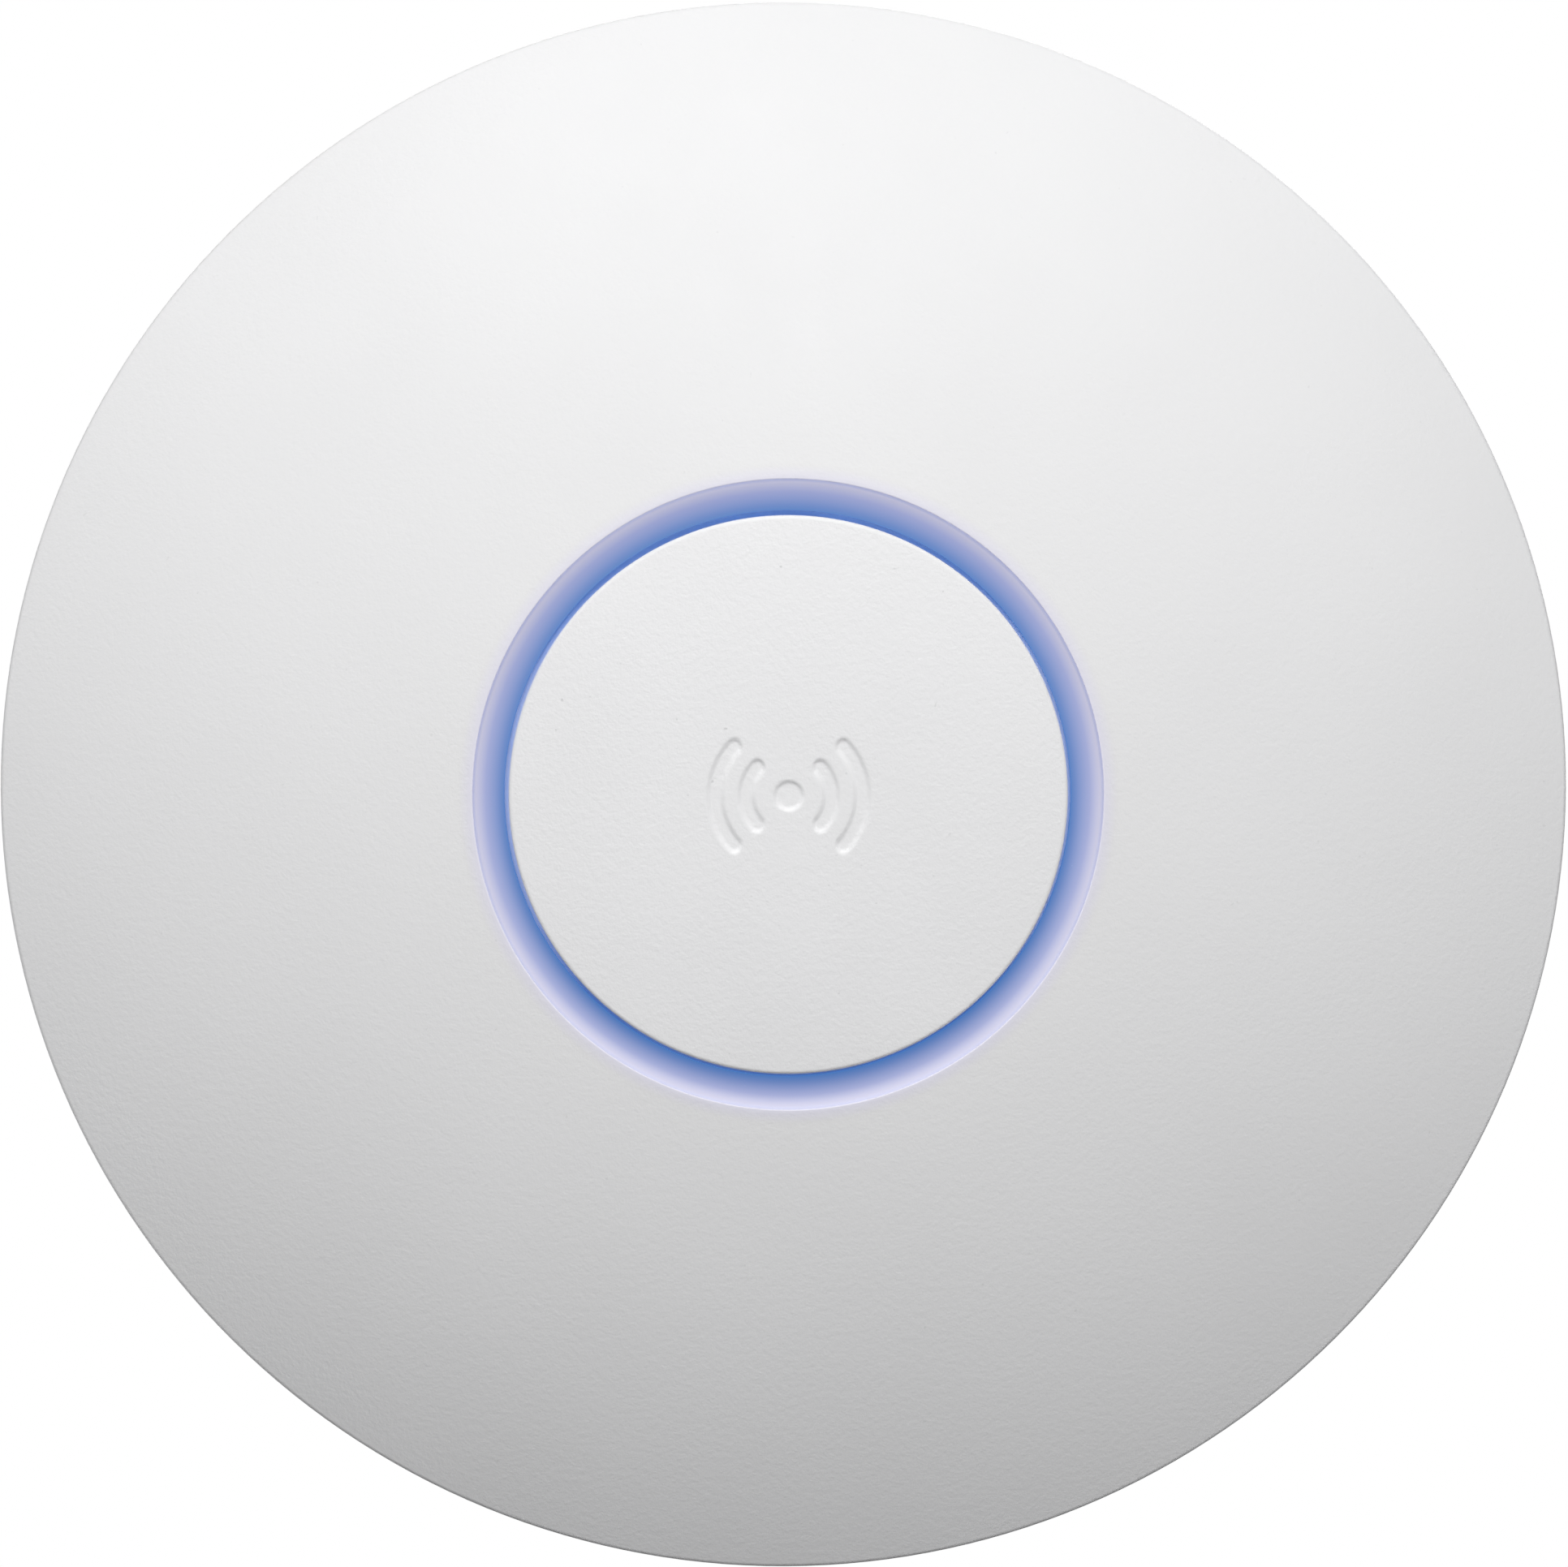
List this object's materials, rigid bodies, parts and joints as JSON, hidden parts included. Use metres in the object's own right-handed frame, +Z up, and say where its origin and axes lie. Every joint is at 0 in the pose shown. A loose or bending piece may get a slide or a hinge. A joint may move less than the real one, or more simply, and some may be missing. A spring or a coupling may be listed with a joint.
{
  "type": "ceiling access point",
  "caption": "Round white wireless access point with a blue light ring, hung under a ceiling on a twist-on bracket.",
  "frame": {"origin": "centre of the bracket's ceiling face", "axes": "+Z up into the ceiling, along the dome's axis; -Y towards the port bay and the side cable channel; +X towards the lock finger"},
  "size_m": [0.1968, 0.1968, 0.035],
  "materials": {
    "bracket_white": "moulded, fine matt grain",
    "cover_white": "moulded, fine spark-eroded grain, satin",
    "shell_white": "moulded, fine matt grain",
    "light_blue": "translucent polycarbonate lit from behind",
    "holder_white": "white reflecting plastic",
    "gasket_grey": "soft moulded rubber",
    "board_green": "solder mask over copper",
    "aluminium": "stamped, brushed",
    "tinned": "stamped tin-plated steel",
    "pad_blue": "soft silicone",
    "jack_black": "moulded, satin",
    "gold": "gold plated",
    "lead_black": "smooth jacket",
    "sleeve_blue": "shrink sleeve over an aluminium can",
    "led_yellow": "phosphor under clear resin",
    "screw_steel": "zinc plated"
  },
  "bodies": {
    "bracket": {"mounting_bracket": "bracket_white"},
    "finger": {"lock_finger": "bracket_white"},
    "housing": {"front_cover": "cover_white", "centre_cap": "cover_white", "light_guide": "light_blue", "guide_holder": "holder_white", "rim_gasket": "gasket_grey", "back_shell": "shell_white", "main_board": "board_green", "heat_spreader": "aluminium", "processor_shield": "tinned", "radio_shield_1": "tinned", "radio_shield_2": "tinned", "thermal_pad_1": "pad_blue", "thermal_pad_2": "pad_blue", "thermal_pad_3": "pad_blue", "network_jack_1": "jack_black", "jack_contacts_1": "gold", "line_transformer_1": "jack_black", "network_jack_2": "jack_black", "jack_contacts_2": "gold", "line_transformer_2": "jack_black", "usb_port": "tinned", "usb_tongue": "jack_black", "reset_switch": "jack_black", "capacitor_1": "sleeve_blue", "capacitor_2": "sleeve_blue", "power_inductor": "jack_black", "ring_led_1": "led_yellow", "ring_led_2": "led_yellow", "ring_led_3": "led_yellow", "ring_led_4": "led_yellow", "ring_led_5": "led_yellow", "ring_led_6": "led_yellow", "aerial_1": "tinned", "aerial_lead_1": "lead_black", "aerial_plug_1": "gold", "aerial_2": "tinned", "aerial_lead_2": "lead_black", "aerial_plug_2": "gold", "aerial_3": "tinned", "aerial_lead_3": "lead_black", "aerial_plug_3": "gold", "board_screw_1": "screw_steel", "board_screw_2": "screw_steel", "board_screw_3": "screw_steel", "board_screw_4": "screw_steel", "cover_screw_1": "screw_steel", "cover_screw_2": "screw_steel", "cover_screw_3": "screw_steel", "cover_screw_4": "screw_steel"},
    "reset": {"reset_button": "jack_black"}
  },
  "joints": [
    {"name": "body_twist", "type": "hinge", "parent": "bracket", "child": "housing", "pos_m": [0, 0, 0], "axis": [0, 0, 1], "range_deg": [0, 22]},
    {"name": "lock_finger_bend", "type": "hinge", "parent": "bracket", "child": "finger", "pos_m": [0.04698, -0.01879, -0.004], "axis": [0, 0, 1], "range_deg": [0, 3.5], "stiffness_Nm_per_rad": 2},
    {"name": "reset_press", "type": "slide", "parent": "housing", "child": "reset", "axis": [0, 1, 0], "range_m": [0, 0.0006], "stiffness_N_per_m": 1500}
  ]
}
